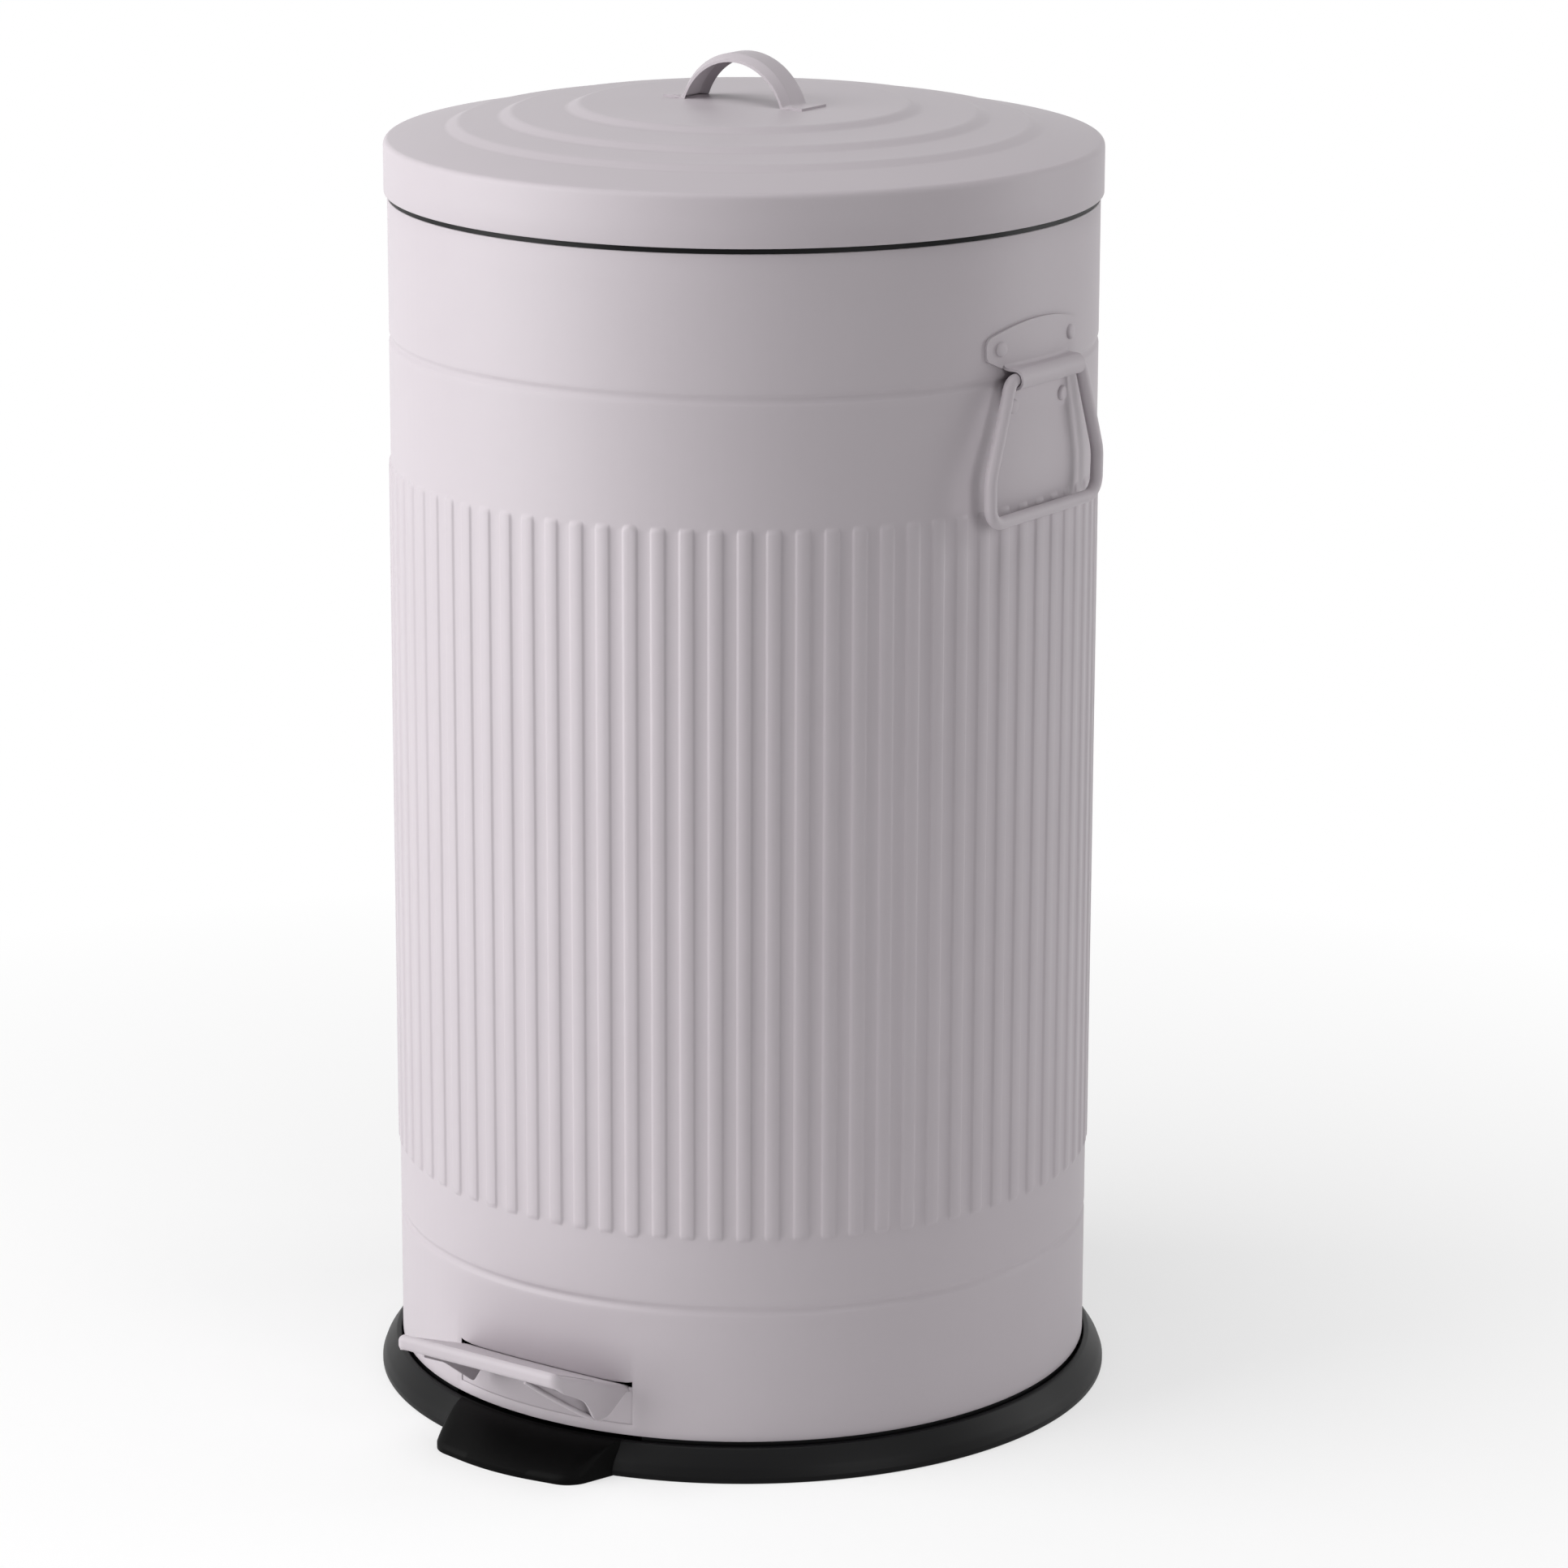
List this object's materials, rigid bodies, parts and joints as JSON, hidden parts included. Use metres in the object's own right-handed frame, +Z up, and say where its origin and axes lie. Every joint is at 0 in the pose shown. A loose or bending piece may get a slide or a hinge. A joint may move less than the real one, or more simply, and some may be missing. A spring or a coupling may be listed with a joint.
{
  "type": "pedal bin",
  "caption": "Free-standing round pedal bin: ribbed steel body, hinged domed lid with strap handle, foot pedal linkage, side bail handles, black base and lift-out bucket.",
  "frame": {"origin": "centre of the body's axis at floor level, on the base's flat underside", "axes": "+Z up along the body's axis, -Y to the pedal at the front, +Y to the lid hinge at the back, X from one side handle to the other"},
  "size_m": [0.3312, 0.373, 0.5976],
  "materials": {
    "powder_coat": "satin powder coat, pale mauve grey",
    "black_plastic": "satin moulded black",
    "bucket_plastic": "matte moulded black",
    "zinc_steel": "zinc-plated steel",
    "rubber": "matte moulded rubber"
  },
  "bodies": {
    "root": {"body_shell": "powder_coat", "base_moulding": "black_plastic", "rim_ring": "black_plastic", "bucket_platform": "black_plastic", "pivot_bracket_left": "zinc_steel", "pivot_bracket_right": "zinc_steel", "pivot_screws": "zinc_steel", "pedal_axle": "zinc_steel", "hinge_block": "black_plastic", "hinge_screws": "zinc_steel", "hinge_pin": "zinc_steel", "rod_guide_upper": "black_plastic", "rod_guide_lower": "black_plastic", "handle_plate_left": "powder_coat", "handle_plate_right": "powder_coat", "handle_rivets_left": "powder_coat", "handle_rivets_right": "powder_coat"},
    "lid": {"lid_shell": "powder_coat", "lid_handle": "powder_coat", "lid_hinge_leaf": "zinc_steel", "lid_bumpers": "rubber"},
    "pedal": {"pedal_plate": "powder_coat", "pedal_lever": "zinc_steel", "pedal_rivets": "zinc_steel", "rod_bottom_pin": "zinc_steel"},
    "rod": {"push_rod": "zinc_steel", "rod_top_pin": "zinc_steel"},
    "bucket": {"bucket": "bucket_plastic"},
    "bucket_bail": {"bucket_bail": "zinc_steel"},
    "grip_left": {"handle_bail_left": "powder_coat"},
    "grip_right": {"handle_bail_right": "powder_coat"}
  },
  "joints": [
    {"name": "lid_hinge", "type": "hinge", "parent": "root", "child": "lid", "pos_m": [0, 0.168, 0.549], "axis": [-1, 0, 0], "range_deg": [0, 74]},
    {"name": "pedal_pivot", "type": "hinge", "parent": "root", "child": "pedal", "pos_m": [0, -0.072, 0.0328], "axis": [1, 0, 0], "range_deg": [0, 8.8]},
    {"name": "rod_pivot", "type": "hinge", "parent": "pedal", "child": "rod", "pos_m": [0, 0.146, 0.01622], "axis": [1, 0, 0], "range_deg": [-8.8, 0]},
    {"name": "bucket_lift", "type": "slide", "parent": "root", "child": "bucket", "axis": [0, 0, 1], "range_m": [0, 0.03]},
    {"name": "bucket_bail_hinge", "type": "hinge", "parent": "bucket", "child": "bucket_bail", "pos_m": [0, 0, 0.4929], "axis": [-1, 0, 0], "range_deg": [0, 14]},
    {"name": "left_grip_hinge", "type": "hinge", "parent": "root", "child": "grip_left", "pos_m": [-0.1605, 0, 0.478], "axis": [0, 1, 0], "range_deg": [0, 160]},
    {"name": "right_grip_hinge", "type": "hinge", "parent": "root", "child": "grip_right", "pos_m": [0.1605, 0, 0.478], "axis": [0, -1, 0], "range_deg": [0, 160]}
  ],
  "couplings": [
    {"joint": "pedal_pivot", "follows": "lid_hinge", "ratio": 0.11754},
    {"joint": "rod_pivot", "follows": "lid_hinge", "ratio": -0.11754}
  ]
}
